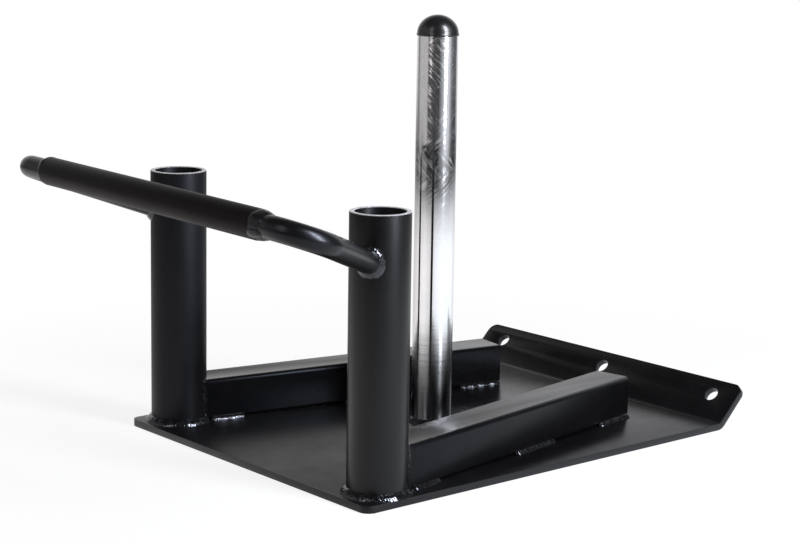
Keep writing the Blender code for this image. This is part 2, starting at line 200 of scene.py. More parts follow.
class Recipe:
    # a material or world and the nodes that it is made of
    def __init__(self, owner):
        owner.use_nodes = True
        self.owner = owner
        self.tree = owner.node_tree
        self.tree.nodes.clear()

    def node(self, kind, settings=None, sockets=None, output=0):
        made = self.tree.nodes.new("ShaderNode" + kind)
        for key, value in (settings or {}).items():
            if key == "stops":
                self.setStops(made.color_ramp, value)
            else:
                setattr(made, key, value)
        for key, value in (sockets or {}).items():
            slot = made.inputs[key]
            if isinstance(value, Wire):
                self.tree.links.new(value.socket, slot)
            else:
                slot.default_value = value
        return Wire(self.tree, made.outputs[output]) if len(made.outputs) else None

    def setStops(self, ramp, stops):
        while len(ramp.elements) < len(stops):
            ramp.elements.new(1.0)
        for element, (place, value) in zip(ramp.elements, stops):
            element.position = place
            element.color = (value, value, value, 1.0)

    def place(self, scale=(1, 1, 1), turn=(0, 0, 0), shift=(0, 0, 0)):
        # where on the piece, in metres, scaled to the pattern
        here = self.node("TexCoord", output="Object")
        return self.node("Mapping", {}, {"Vector": here, "Location": shift, "Rotation": turn,
                                         "Scale": scale})

    def along(self, where, axis):
        # one coordinate of a place
        return self.node("SeparateXYZ", {}, {"Vector": where}, output=axis)

    def measure(self, operation, *vectors):
        # a dot product or a length
        return self.node("VectorMath", {"operation": operation}, dict(enumerate(vectors)),
                         output="Value")

    def grain(self, where, scale, detail, roughness):
        # noise: waves per metre, how many finer layers, and how strong those are
        return self.node("TexNoise", {}, {"Vector": where, "Scale": scale, "Detail": detail,
                                          "Roughness": roughness})

    def ramp(self, value, *stops):
        return self.node("ValToRGB", {"stops": stops}, {"Fac": value})

    def mixColour(self, factor, first, second):
        return self.node("Mix", {"data_type": "RGBA"}, {0: factor, 6: first, 7: second}, output=2)

    def bump(self, height, strength, distance):
        return self.node("Bump", {}, {"Height": height, "Strength": strength, "Distance": distance})

    def surface(self, sockets):
        shader = self.node("BsdfPrincipled", {}, sockets)
        self.node("OutputMaterial", {}, {"Surface": shader})
        return self.owner


# Where things are, in metres

rightSocket = boxMiddle("right_socket")
sled = {
    "plateTop": 0.008,
    "plateFloor": 0.0083,      # where the upright pieces stand
    "rearEdge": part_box("skid_plate")[0][1],
    "socketX": rightSocket.x,
    "socketY": rightSocket.y,
    "postY": boxMiddle("weight_post").y,
    "toeIn": math.radians(10),
    "rim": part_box("right_socket")[1][2] - 0.0006,      # the sockets' coat is worn above this, and painted lighter there as a painted sheen
    "roundSteps": 128,         # facets round a tube
}

sides = {1: "right", -1: "left"}


def railPlace(side):
    # local Y runs forward along the rail from the socket's axis
    seat = Matrix.Translation((side * sled["socketX"], sled["socketY"], 0))
    return seat @ Matrix.Rotation(side * sled["toeIn"], 4, "Z")


# Skid plate

plate = {
    "width": 0.450,
    "fold": sled["rearEdge"] + 0.5539,      # the flat top meets the lip's face here
    "thickness": 0.008,
    "lip": 0.0572,
    "lipAngle": math.radians(45),
    "corner": 0.012,
    "bend": 0.00331,           # from the fold line to where the bend starts
    "bendSteps": 8,            # facets in the bend and in each corner
    "edge": 0.0007,
    "hole": 0.009,             # radius
    "holeSteps": 64,
    "holeRise": 0.036,
    "holeSpacing": 0.187,
}


def lipPlace(x, rise):
    # local Y climbs the lip, local Z stands out of its inner face
    foot = Matrix.Translation((x, plate["fold"], sled["plateTop"]))
    return foot @ Matrix.Rotation(plate["lipAngle"], 4, "X") @ Matrix.Translation((0, rise, 0))


def makePlate():
    deselectAll()
    rear = sled["rearEdge"]
    fold = plate["fold"]
    bpy.ops.mesh.primitive_plane_add(size=1, location=(0, (rear + fold) / 2, sled["plateTop"]))
    obj = nameNew("skidPlate")
    obj.scale = (plate["width"], fold - rear, 1)
    settle(obj)

    reach = plate["lip"] * math.cos(plate["lipAngle"])
    rise = plate["lip"] * math.sin(plate["lipAngle"])
    steps = plate["bendSteps"]
    pickIn(obj, "EDGE", lambda e: all(v.co.y > fold - pickRange for v in e.verts))
    bpy.ops.mesh.extrude_region_move(TRANSFORM_OT_translate={"value": (0, reach, rise)})
    pickIn(obj, "EDGE", lambda e: all(abs(v.co.y - fold) < pickRange for v in e.verts))
    bpy.ops.mesh.bevel(offset=plate["bend"], segments=steps, profile=0.5, affect="EDGES")
    ends = (rear, fold + reach)
    pickIn(obj, "VERT", lambda v: min(abs(v.co.y - end) for end in ends) < pickRange)
    bpy.ops.mesh.bevel(offset=plate["corner"], segments=steps, profile=0.5, affect="VERTICES")

    applyModifier(obj, "SOLIDIFY", thickness=plate["thickness"], offset=-1, use_even_offset=True)
    for index in (-1, 0, 1):
        hole = lipPlace(index * plate["holeSpacing"], plate["holeRise"])
        deselectAll()
        bpy.ops.mesh.primitive_cylinder_add(vertices=plate["holeSteps"], radius=plate["hole"],
                                            depth=plate["thickness"] * 5,
                                            location=hole.to_translation(),
                                            rotation=hole.to_euler())
        cutWith(obj, bpy.context.active_object)
    roundEdges(obj, plate["edge"], segments=3)
    smooth(obj)
    return obj


# Tubes: the sockets, the post and the grip sleeve

socket = {
    "radius": 0.033,
    "wall": 0.0055,
    "length": 0.3025,
    "rim": 0.0010,
    "cutter": 0.2,             # length of the rod that fits other pieces to its wall
}

post = {
    "radius": 0.02415,
    "wall": 0.003,
    "length": 0.4646,
    "rim": 0.0004,
}

sleeve = {
    "radius": 0.016,
    "wall": 0.0031,
    "length": 0.398,
    "rim": 0.0007,
    "offset": 0.0075,          # its middle is this far to the right of the handle's
}


def makeTube(name, kit, place, turn=(0, 0, 0)):
    # an open tube about its middle, its rims rounded
    deselectAll()
    bpy.ops.mesh.primitive_cylinder_add(vertices=sled["roundSteps"], radius=kit["radius"],
                                        depth=kit["length"], location=place, rotation=turn)
    obj = nameNew(name)
    axis = obj.matrix_world.to_3x3() @ Vector((0, 0, 1))
    settle(obj)
    hollow(obj, axis, kit["wall"])
    roundEdges(obj, kit["rim"], segments=4)
    smooth(obj)
    return obj


def makeSocket(side, name):
    middle = sled["plateFloor"] + socket["length"] / 2
    return makeTube(name, socket, (side * sled["socketX"], sled["socketY"], middle))


def makePost():
    middle = sled["plateFloor"] + post["length"] / 2
    return makeTube("weightPost", post, (0, sled["postY"], middle))


def makeSleeve():
    place = gripPlace()
    return makeTube("gripSleeve", sleeve, place.to_translation(), place.to_euler())


def fitToSocket(obj, place=(0, 0, 0)):
    # a rod of the socket's size shapes the piece's end to its wall
    deselectAll()
    bpy.ops.mesh.primitive_cylinder_add(vertices=sled["roundSteps"], radius=socket["radius"],
                                        depth=socket["cutter"], location=place)
    cutWith(obj, bpy.context.active_object)


# Post cap, raised ring by ring from the foot of its stem

cap = {
    "steps": 96,
    "seat": sled["plateFloor"] + post["length"] + 0.0003,
    "stem": 0.02075,
    "stemLength": 0.025,
    "stemEdge": ((0, -0.0002), (0.0004, 0)),      # rings: out from the stem's side, and up
    "brim": 0.0252,
    "brimEdge": ((-0.0006, 0), (-0.0002, 0.0002), (0, 0.0006), (0, 0.0012), (-0.0002, 0.0017)),
    "dome": 0.0245,
    "domeFoot": 0.0026,        # height of the dome's first ring
    "domeStart": math.radians(4),
    "domeBase": 0.002,
    "domeHeight": 0.0221,
    "domeRings": 18,
}


def growRing(start, end):
    # the selected ring is extruded up or down to the next radius and height
    share = end[0] / start[0]
    bpy.ops.mesh.extrude_region_move(
        TRANSFORM_OT_translate={"value": (0, 0, end[1] - start[1])})
    bpy.ops.transform.resize(value=(share, share, 1), center_override=(0, 0, 0))


def makeCap():
    rings = [(cap["stem"], -cap["stemLength"])]
    rings += [(cap["stem"] + out, up) for out, up in cap["stemEdge"]]
    rings += [(cap["brim"] + out, up) for out, up in cap["brimEdge"]]
    rings.append((cap["dome"], cap["domeFoot"]))
    for step in range(1, cap["domeRings"]):
        angle = cap["domeStart"] + (math.pi / 2 - cap["domeStart"]) * step / cap["domeRings"]
        rings.append((cap["dome"] * math.cos(angle),
                      cap["domeBase"] + cap["domeHeight"] * math.sin(angle)))
    deselectAll()
    bpy.ops.mesh.primitive_circle_add(vertices=cap["steps"], radius=rings[0][0],
                                      location=(0, 0, rings[0][1]))
    obj = nameNew("postCap")
    settle(obj)
    editAll(obj)
    for start, end in zip(rings, rings[1:]):
        growRing(start, end)
    top = cap["domeBase"] + cap["domeHeight"]
    bpy.ops.mesh.extrude_region_move(TRANSFORM_OT_translate={"value": (0, 0, top - rings[-1][1])})
    bpy.ops.mesh.merge(type="CENTER")
    pickIn(obj, "VERT", lambda v: v.co.z < pickRange - cap["stemLength"])
    bpy.ops.mesh.fill()
    faceOutwards(obj)
    obj.location = (0, sled["postY"], cap["seat"])
    settle(obj)
    smooth(obj, angle=50)
    return obj


# Box rails and their end plates

rail = {
    "width": 0.050,
    "height": 0.050,
    "wall": 0.004,
    "corner": 0.005,
    "cornerSteps": 8,
    "edge": 0.0005,
    "reach": 0.444,
    "endPlate": 0.004,
    "endCorner": 0.003,
    "endCornerSteps": 5,
    "endEdge": 0.0006,
    "recess": 0.0005,
}


def boxBar(name, width, height, length, corner, segments):
    # a bar along Y with its long edges rounded
    deselectAll()
    bpy.ops.mesh.primitive_cube_add(size=1, location=(0, length / 2, 0))
    obj = nameNew(name)
    obj.scale = (width, length, height)
    settle(obj)
    pickIn(obj, "EDGE", lambda e: abs(e.verts[0].co.y - e.verts[1].co.y) > length / 2)
    bpy.ops.mesh.bevel(offset=corner, segments=segments, profile=0.5, affect="EDGES")
    return obj


def layOnPlate(obj, side, forward=0.0):
    # from about its own axis to its place along the rail
    middle = sled["plateFloor"] + rail["height"] / 2
    obj.matrix_world = (Matrix.Translation((0, 0, middle)) @ railPlace(side)
                        @ Matrix.Translation((0, forward, 0)))
    settle(obj)
    smooth(obj)
    return obj


def makeRail(side, name):
    obj = boxBar(name, rail["width"], rail["height"], rail["reach"], rail["corner"],
                 rail["cornerSteps"])
    hollow(obj, Vector((0, 1, 0)), rail["wall"])
    fitToSocket(obj)
    roundEdges(obj, rail["edge"], segments=2, angle=50)
    return layOnPlate(obj, side)


def makeEndPlate(side, name):
    width = rail["width"] - 2 * rail["wall"]
    height = rail["height"] - 2 * rail["wall"]
    obj = boxBar(name, width, height, rail["endPlate"], rail["endCorner"],
                 rail["endCornerSteps"])
    roundEdges(obj, rail["endEdge"], segments=2)
    return layOnPlate(obj, side, rail["reach"] - rail["recess"] - rail["endPlate"])


# Push handle, bent from one round bar

handle = {
    "radius": 0.0125,
    "bend": 0.0361,
    "spread": 0.572,
    "reach": 0.1695,
    "joint": 0.2543,           # height where the legs meet the sockets' axes
    "rise": 0.064,
    "lean": math.radians(1),   # down to the right
    "steps": 64,
    "bendSteps": 24,
    "seam": 0.0002,            # how near the mirrored halves have to be to join
}


def leaning():
    lean = Matrix.Identity(4)
    lean[2][0] = -math.tan(handle["lean"])
    return lean


def levelCorner():
    return Vector((handle["spread"] / 2, sled["socketY"] - handle["reach"],
                   handle["joint"] + handle["rise"]))


def handleCorner(side):
    return leaning() @ Matrix.Diagonal((side, 1, 1, 1)) @ levelCorner()


def handleJoint(side):
    return leaning() @ Vector((side * sled["socketX"], sled["socketY"], handle["joint"]))


def gripPlace():
    # about the sleeve's middle, local Z along it to the right
    middle = Vector((0, levelCorner().y, levelCorner().z))
    turn = Matrix.Rotation(math.pi / 2 + handle["lean"], 4, "Y")
    return Matrix.Translation(middle) @ turn @ Matrix.Translation((0, 0, sleeve["offset"]))


def makeHandle():
    # one half is drawn level, then mirrored and leaned
    foot = Vector((sled["socketX"], sled["socketY"], handle["joint"]))
    corner = levelCorner()
    along = (corner - foot).normalized()
    across = Vector((-1, 0, 0))
    turn = along.angle(across)
    cutBack = handle["bend"] * math.tan(turn / 2)
    axis = along.cross(across).normalized()
    hub = corner - along * cutBack + axis.cross(along) * handle["bend"]
    straight = (corner - foot).length - cutBack

    deselectAll()
    bpy.ops.mesh.primitive_circle_add(vertices=handle["steps"], radius=handle["radius"],
                                      fill_type="NGON", location=foot,
                                      rotation=along.to_track_quat("Z", "Y").to_euler())
    obj = nameNew("pushHandle")
    settle(obj)
    editAll(obj)
    bpy.ops.mesh.select_mode(type="FACE")
    bpy.ops.mesh.extrude_region_move(TRANSFORM_OT_translate={"value": along * straight})
    # spin turns the other way round its axis
    bpy.ops.mesh.spin(steps=handle["bendSteps"], angle=-turn, center=hub, axis=axis)
    halfGrip = handle["spread"] / 2 - cutBack
    bpy.ops.mesh.extrude_region_move(TRANSFORM_OT_translate={"value": (-halfGrip, 0, 0)})
    bpy.ops.mesh.delete(type="FACE")
    applyModifier(obj, "MIRROR", use_axis=(True, False, False), merge_threshold=handle["seam"])
    obj.data.transform(leaning())
    faceOutwards(obj)
    for side in sides:
        fitToSocket(obj, handleJoint(side))
    smooth(obj)
    return obj


# Weld beads: a rod or ring is cut into many rings, then laid along its joint

bead = {
    "round": 16,               # facets round it
    "slice": 0.0007,           # length of one ring of faces
    "ripple": 0.0027,          # from one ripple to the next
    "rippleDepth": 0.00045,
    "curl": 0.35,              # how far the ripples bow
    "wander": 0.00045,         # how far the toes stray
    "grain": 0.00010,
    "nose": 0.0045,            # rounded length at an open end
    "fullness": 0.18,          # how much flatter the face is than a quarter round
}

weld = {
    "sink": 0.0006,            # how far a bead goes into what it joins
    "baseLeg": 0.0068,
    "baseGap": math.radians(33),      # left open at the socket's foot, each side of the rail
    "postLeg": 0.0058,
    "stitchLeg": 0.0054,
    "stitchSink": 0.003,
    # each stitch's start along the rail, and its length
    "stitches": {"rear": (0.0295, 0.0465), "middle": (0.213, 0.076), "front": (0.3820, 0.0615)},
    "climbLeg": 0.0040,
    "climbFoot": 0.005,        # the upright welds start this high on the rail
    "climbOver": 0.0075,       # and go on this far round its upper corner
    "handleLeg": 0.0050,
    "gripLeg": 0.0036,
    "gripRun": {1: 0.0155, -1: 0.0098},      # each collar's length along the bar
}


def wobble(spot, seed, scale):
    # smooth noise either side of nought, scale in waves per metre
    return noise.noise(spot * scale + Vector((0, 0, seed * 7.31)))


def beadPoint(seat, distance, angle, spot, make):
    # local X runs out along the seat, local Y up the wall, both from the corner
    grow = 1.0
    if not make["closed"]:
        nearEnd = min(distance, make["length"] - distance)
        if nearEnd < bead["nose"]:
            grow = math.sqrt(max(0.001, 1 - (1 - nearEnd / bead["nose"]) ** 2))
    out = math.cos(angle)
    up = math.sin(angle)
    face = max(0.0, out) * max(0.0, up) * 2
    seed = make["seed"]
    count = max(1, round(make["length"] / bead["ripple"]))
    curl = (angle - math.pi / 4) ** 2 * bead["curl"]
    phase = distance / make["length"] * count + curl + wobble(spot, seed + 3, 170) * 0.5
    wave = abs(math.sin(math.pi * phase)) ** 0.6
    size = make["leg"] + wobble(spot, seed, 130) * bead["wander"] * 2
    reach = size * (1 - bead["fullness"] * math.sin(2 * angle) ** 2)
    grain = wobble(spot + Vector((0, 0, angle * 0.004)), seed + 5, 900) * bead["grain"]
    reach += ((wave - 0.6) * bead["rippleDepth"] + grain) * face
    x = max(-make["sink"], out * reach) * grow
    y = max(-make["sink"], up * reach) * grow
    return seat @ Vector((x, y, 0))


def layBead(name, laid, leg, seed, closed, sink):
    # laid is the joint's route, which gives its corner at a distance along it, and its length
    route, length = laid
    make = {"length": length, "leg": leg, "seed": seed, "closed": closed, "sink": sink}
    slices = int(length / bead["slice"])
    deselectAll()
    if closed:
        bpy.ops.mesh.primitive_torus_add(major_segments=slices, minor_segments=bead["round"],
                                         major_radius=1, minor_radius=0.3)
        obj = nameNew(name)
    else:
        bpy.ops.mesh.primitive_cylinder_add(vertices=bead["round"], radius=1, depth=length)
        obj = nameNew(name)
        pickIn(obj, "EDGE", lambda e: abs(e.verts[0].co.z - e.verts[1].co.z) > length / 2)
        bpy.ops.mesh.subdivide(number_cuts=slices)
        bpy.ops.object.mode_set(mode="OBJECT")
    ring = length / math.tau
    for vert in obj.data.vertices:
        x, y, z = vert.co
        if closed:
            turn = math.atan2(y, x) % math.tau
            distance = turn * ring
            angle = math.atan2(z, math.hypot(x, y) - 1)
            spot = Vector((ring * math.cos(turn), ring * math.sin(turn), 0))
        else:
            distance = z + length / 2
            angle = math.atan2(y, x)
            spot = Vector((distance, 0, 0))
        vert.co = beadPoint(route(distance), distance, angle, spot, make)
    faceOutwards(obj)
    smooth(obj, angle=60)
    return obj


def cornerFrame(corner, seatWay, wallWay):
    made = Matrix.Identity(4)
    made.col[0] = (*seatWay, 0)
    made.col[1] = (*wallWay, 0)
    made.col[2] = (*seatWay.cross(wallWay), 0)
    made.col[3] = (*corner, 1)
    return made


def roundBase(place, radius, start, sweep):
    # round the foot of an upright tube, from one angle through another
    def route(distance):
        angle = start + distance / radius
        spoke = Vector((math.cos(angle), math.sin(angle), 0))
        return cornerFrame(place @ (spoke * radius), place.to_3x3() @ spoke, Vector((0, 0, 1)))
    return route, radius * sweep


def alongRail(side, face, start, length):
    place = Matrix.Translation((0, 0, sled["plateTop"])) @ railPlace(side)
    way = place.to_3x3() @ Vector((face, 0, 0))
    half = rail["width"] / 2

    def route(distance):
        corner = place @ Vector((face * half, start + distance, 0))
        return cornerFrame(corner, way, Vector((0, 0, 1)))
    return route, length


def upSocket(side, face):
    # up the joint of the rail's side and the socket, then round the rail's upper corner
    place = Matrix.Translation((0, 0, sled["plateFloor"])) @ railPlace(side)
    half = rail["width"] / 2
    corner = rail["corner"]
    foot = weld["climbFoot"]
    straight = rail["height"] - corner - foot

    def route(distance):
        turn = max(0.0, min(math.pi / 2, (distance - straight) / corner))
        across = half - corner + corner * math.cos(turn)
        up = foot + min(distance, straight) + corner * math.sin(turn)
        spot = Vector((face * across, math.sqrt(socket["radius"] ** 2 - across ** 2), up))
        # out of the rail's face, laid along the socket
        normal = Vector((spot.x, spot.y, 0)).normalized()
        out = Vector((face * math.cos(turn), 0, math.sin(turn)))
        slide = (out - normal * out.dot(normal)).normalized()
        turned = place.to_3x3()
        return cornerFrame(place @ spot, turned @ Vector((0, 1, 0)), turned @ slide)
    return route, straight + weld["climbOver"]


def roundHandle(side):
    foot = handleJoint(side)
    along = (handleCorner(side) - foot).normalized()
    sideways = along.cross(Vector((0, 0, 1))).normalized()
    up = sideways.cross(along)

    def route(distance):
        # from the socket's axis out along the bar's surface, to where it leaves the wall
        angle = distance / handle["radius"]
        spoke = sideways * math.cos(angle) + up * math.sin(angle)
        offset = spoke * handle["radius"]
        square = along.xy.length_squared
        mixed = offset.xy.dot(along.xy)
        left = offset.xy.length_squared - socket["radius"] ** 2
        travel = (math.sqrt(mixed ** 2 - square * left) - mixed) / square
        spot = offset + along * travel
        normal = Vector((spot.x, spot.y, 0)).normalized()
        slide = (spoke - normal * spoke.dot(normal)).normalized()
        return cornerFrame(foot + spot, along, slide)
    return route, math.tau * handle["radius"]


def roundGripEnd(side):
    # a long collar: the bead is drawn out along the bar
    place = gripPlace()
    along = place.to_3x3() @ Vector((0, 0, side))
    end = place.to_translation() + along * sleeve["length"] / 2
    stretch = weld["gripRun"][side] / weld["gripLeg"]
    first = place.to_3x3() @ Vector((1, 0, 0))
    second = along.cross(first)

    def route(distance):
        angle = distance / handle["radius"]
        spoke = first * math.cos(angle) + second * math.sin(angle)
        return cornerFrame(end + spoke * handle["radius"], along * stretch, spoke)
    return route, math.tau * handle["radius"]


# Black coating on the plate, tubes, rails and handle

coat = {
    "colour": (0.0016, 0.0016, 0.0019, 1),
    "dust": (0.018, 0.017, 0.018, 1),
    "tint": (0.84, 0.87, 1.0, 1),
    # colour of the rubbed rim: worn coat, lightened as a painted sheen
    "rubbed": (0.36, 0.36, 0.37, 1),
    "roughness": 0.40,
    "shine": 1.27,             # index of refraction
    "peel": 420.0,             # orange peel, waves per metre
    "peelDepth": 0.00010,
    "cloud": 0.08,             # how far the sheen drifts
    "stretch": (1, 1, 1),      # less than 1 draws the clouds out that way
    "turn": 0.0,               # of their pattern, about Z
    "dirt": 0.12,
    "specks": 0.5,
    "wornAbove": 1.0,          # the coat is rubbed thin above this height, and painted lighter there as a painted sheen
    "dull": 0.0,               # rougher by this much towards the rear
}


def coatFinish(name, **changes):
    # sprayed black: fine orange peel, cloudy sheen, dirt, dust specks, and a rubbed rim painted
    # lighter as a painted sheen
    kit = {**coat, **changes}
    make = Recipe(bpy.data.materials.new(name))
    here = make.place()
    drawn = make.place(scale=kit["stretch"], turn=(0, 0, kit["turn"]))
    clouds = make.grain(drawn, 14, 4, 0.6)
    patches = make.grain(drawn, 55, 3, 0.55)
    fine = make.grain(here, 1300, 2, 0.5)
    orange = make.grain(here, kit["peel"], 2, 0.45)
    specks = make.ramp(make.grain(here, 620, 1, 0.4), (0.735, 0.0), (0.78, 1.0))
    dirt = make.ramp(make.grain(here, 30, 5, 0.7), (0.35, 0.0), (0.75, 1.0))
    rear = make.ramp(make.along(here, "Y") + 0.5, (0.4, 1.0), (0.55, 0.0))
    above = make.along(here, "Z") > kit["wornAbove"]
    # the rim: worn coat, smoother, and painted lighter as a painted sheen
    wornRimAndSheen = above * make.ramp(fine, (0.3, 0.5), (0.6, 1.0))
    drift = (clouds - 0.5) * kit["cloud"] + (patches - 0.5) * (kit["cloud"] * 0.6)
    dusty = dirt * kit["dirt"] + specks * kit["specks"]
    return make.surface({
        "Base Color": make.mixColour(wornRimAndSheen, make.mixColour(dusty, kit["colour"], kit["dust"]),
                                     kit["rubbed"]),
        "Roughness": (kit["roughness"] + drift + (fine - 0.5) * 0.05 + specks * 0.15
                      + rear * kit["dull"] - wornRimAndSheen * 0.25),
        "Normal": make.bump(orange + specks * 0.25, 0.6, kit["peelDepth"]),
        "IOR": kit["shine"],
        "Specular Tint": kit["tint"],
    })


# Coating over the welds

weldCoat = {
    "roughness": 0.10,
    "shine": 1.62,
    "lumps": 420.0,            # waves per metre
    "lumpDepth": 0.00045,
    "grit": 1500.0,
    "dusty": 0.5,              # how far the rubbed places go to the colour of dust
}


def weldFinish(name):
    # thinner and glossier than elsewhere, over fine lumps and grit
    make = Recipe(bpy.data.materials.new(name))
    here = make.place()
    grit = make.grain(here, weldCoat["grit"], 3, 0.6)
    lumps = make.grain(here, weldCoat["lumps"], 0, 0.5)
    rubbed = make.ramp(make.grain(here, 240, 2, 0.5), (0.45, 0.0), (0.75, 1.0))
    return make.surface({
        "Base Color": make.mixColour(rubbed * weldCoat["dusty"], coat["colour"], coat["dust"]),
        "Roughness": weldCoat["roughness"] + (lumps - 0.5) * 0.10 + (grit - 0.5) * 0.06,
        "Normal": make.bump(grit * 0.05 + lumps, 0.9, weldCoat["lumpDepth"]),
        "IOR": weldCoat["shine"],
        "Specular Tint": coat["tint"],
    })


# Polished steel of the post

steel = {
    "colour": (0.78, 0.78, 0.80, 1),
    "stain": (0.60, 0.61, 0.64, 1),
    "roughness": 0.06,
    "haze": 0.04,              # how far the roughness drifts
    "swirlDull": 0.26,         # rougher by this much in a swirl
    "footDull": 0.13,          # and by this much low down, where the rings are
    "anisotropy": 0.9,         # the rings draw each highlight out up and down
    "anisotropyTurn": 0.25,    # of a full turn
    "swirlUp": {"pitch": 36, "squeeze": 0.14, "scale": 620},
    "swirlDown": {"pitch": -42, "squeeze": 0.16, "scale": 580},
    "swirlMark": 0.22,         # how much of the relief each kind of mark makes
    "fleckMark": 0.12,
    "ringMark": 1.6,
    "markDepth": 0.00010,
}


def steelFinish(name):
    # tube polished by hand on a slow lathe: rings, helical swirls and a cloudy haze
    make = Recipe(bpy.data.materials.new(name))
    here = make.place(shift=(0, -sled["postY"], 0))
    x, y, z = (make.along(here, axis) for axis in "XYZ")

    def twisted(pitch, squeeze):
        # turned about the post's axis on the way up, and drawn out along it
        angle = z * pitch
        cos = make.node("Math", {"operation": "COSINE"}, {0: angle})
        sin = make.node("Math", {"operation": "SINE"}, {0: angle})
        return make.node("CombineXYZ", {}, {"X": x * cos - y * sin, "Y": x * sin + y * cos,
                                            "Z": z * squeeze})

    def swirl(kit):
        strokes = make.grain(twisted(kit["pitch"], kit["squeeze"]), kit["scale"], 2, 0.5)
        return make.ramp(strokes, (0.50, 0.0), (0.64, 1.0))

    haze = make.grain(here, 22, 4, 0.6)
    stain = make.ramp(haze, (0.4, 0.0), (0.8, 1.0))
    flecks = make.grain(twisted(9, 0.45), 620, 2, 0.7)
    squashed = make.node("CombineXYZ", {}, {"X": x * 0.4, "Y": y * 0.4, "Z": z * 8})
    rings = make.grain(squashed, 42, 1, 0.6)
    foot = make.ramp(z, (0.03, 0.3), (0.06, 1.0), (0.11, 1.0), (0.16, 0.06))      # rings show here

    swapped = make.ramp(make.grain(here, 38, 2, 0.5), (0.46, 0.0), (0.54, 1.0))
    patches = make.ramp(make.grain(here, 34, 3, 0.6), (0.34, 0.5), (0.5, 1.0))
    upper = make.ramp(z, (0.22, 0.05), (0.32, 0.6), (0.42, 1.0))                  # swirls show here
    swirls = (swirl(steel["swirlUp"]) * swapped
              + swirl(steel["swirlDown"]) * (1 - swapped)) * patches * upper
    marks = (swirls * steel["swirlMark"] + (flecks - 0.5) * steel["fleckMark"]
             + (rings - 0.5) * foot * steel["ringMark"])
    return make.surface({
        "Base Color": make.mixColour(stain * 0.5, steel["colour"], steel["stain"]),
        "Metallic": 1.0,
        "Roughness": (steel["roughness"] + (haze - 0.5) * steel["haze"]
                      + swirls * steel["swirlDull"] + foot * steel["footDull"]),
        "Normal": make.bump(marks, 0.6, steel["markDepth"]),
        "Anisotropic": steel["anisotropy"],
        "Anisotropic Rotation": steel["anisotropyTurn"],
    })


# Moulded plastic of the cap

plastic = {
    "colour": (0.003, 0.003, 0.0035, 1),
    "dust": (0.02, 0.02, 0.022, 1),
    "roughness": 0.29,
    "shine": 1.54,
    "grain": 900.0,            # waves per metre
    "grainDepth": 0.00008,
}


def capFinish(name):
    # black, with a faint grain, a cloudy sheen and specks of dust
    make = Recipe(bpy.data.materials.new(name))
    here = make.place()
    grain = make.grain(here, plastic["grain"], 3, 0.55)
    cloud = make.grain(here, 60, 3, 0.5)
    specks = make.ramp(make.grain(here, 700, 1, 0.4), (0.74, 0.0), (0.78, 1.0))
    return make.surface({
        "Base Color": make.mixColour(specks * 0.5 + cloud * 0.2, plastic["colour"],
                                     plastic["dust"]),
        "Roughness": plastic["roughness"] + (cloud - 0.5) * 0.10 + (grain - 0.5) * 0.08,
        "Normal": make.bump(grain, 0.35, plastic["grainDepth"]),
        "IOR": plastic["shine"],
    })


# Build the sled

# on both rails the clouds are drawn out from front to rear
railCoat = {"cloud": 0.20, "peelDepth": 0.00005, "stretch": (1, 0.12, 1)}

finishes = {
    "plate": coatFinish("plateCoat", roughness=0.25, shine=1.82, tint=(0.24, 0.24, 0.27, 1),
                        cloud=0.14, specks=0.8, peelDepth=0.00008, dull=0.16),
    # the sockets share one coating, split into a lit copy on the right and a shaded copy on the
    # left: painted light and shade through a darker colour, rougher gloss and less shine on the left
    "rightTube": coatFinish("rightSocketCoatLitCopy", roughness=0.34, shine=1.37, tint=(0.93, 0.96, 1.0, 1),
                            colour=(0.0012, 0.0011, 0.0013, 1), wornAbove=sled["rim"]),
    "leftTube": coatFinish("leftSocketCoatShadedCopy", roughness=0.46, shine=1.29,
                           colour=(0.0010, 0.0009, 0.0011, 1), wornAbove=sled["rim"]),
    # the rails share one coating, split into a right and a left copy whose sheen tint, shine and
    # gloss differ as painted light and shade
    "rightRail": coatFinish("rightRailCoat", roughness=0.31, shine=1.90, tint=(0.03, 0.035, 0.05, 1),
                            turn=-sled["toeIn"], **railCoat),
    "leftRail": coatFinish("leftRailCoat", roughness=0.26, shine=1.50, tint=(0.07, 0.08, 0.10, 1),
                           turn=sled["toeIn"], **railCoat),
    "handle": coatFinish("handleCoat", roughness=0.30, shine=1.43, tint=(0.62, 0.64, 0.73, 1),
                         cloud=0.06),
    "collar": coatFinish("gripWeldCoat", roughness=0.32, shine=1.45, tint=(0.7, 0.72, 0.8, 1),
                         specks=1.5, peel=330, peelDepth=0.0003),
    "sleeve": coatFinish("sleeveCoat", colour=(0.0030, 0.0022, 0.0020, 1), shine=1.20,
                         tint=(1, 0.95, 0.93, 1), roughness=0.48, specks=1.2, cloud=0.06),
    "weld": weldFinish("weldCoat"),
    "steel": steelFinish("polishedPost"),
    "cap": capFinish("capPlastic"),
}

finishPiece(makePlate(), finishes["plate"], "skid_plate")
print("plate done")

finishPiece(makePost(), finishes["steel"], "weight_post")
finishPiece(makeCap(), finishes["cap"], "post_cap")
print("post and cap done")

finishPiece(makeHandle(), finishes["handle"], "push_handle")
finishPiece(makeSleeve(), finishes["sleeve"], "grip_sleeve")
print("handle done")

for side, word in sides.items():
    finishPiece(makeSocket(side, word + "Socket"), finishes[word + "Tube"],
                word + "_socket")
    railFinish = finishes[word + "Rail"]
    finishPiece(makeRail(side, word + "Rail"), railFinish, word + "_rail")
    finishPiece(makeEndPlate(side, word + "RailEndPlate"), railFinish,
                word + "_rail_end_plate")
print("sockets and rails done")


def addWeld(name, laid, leg, seed, node, closed=False, sink=weld["sink"], look="weld"):
    finishPiece(layBead(name, laid, leg, seed, closed, sink), finishes[look], node)


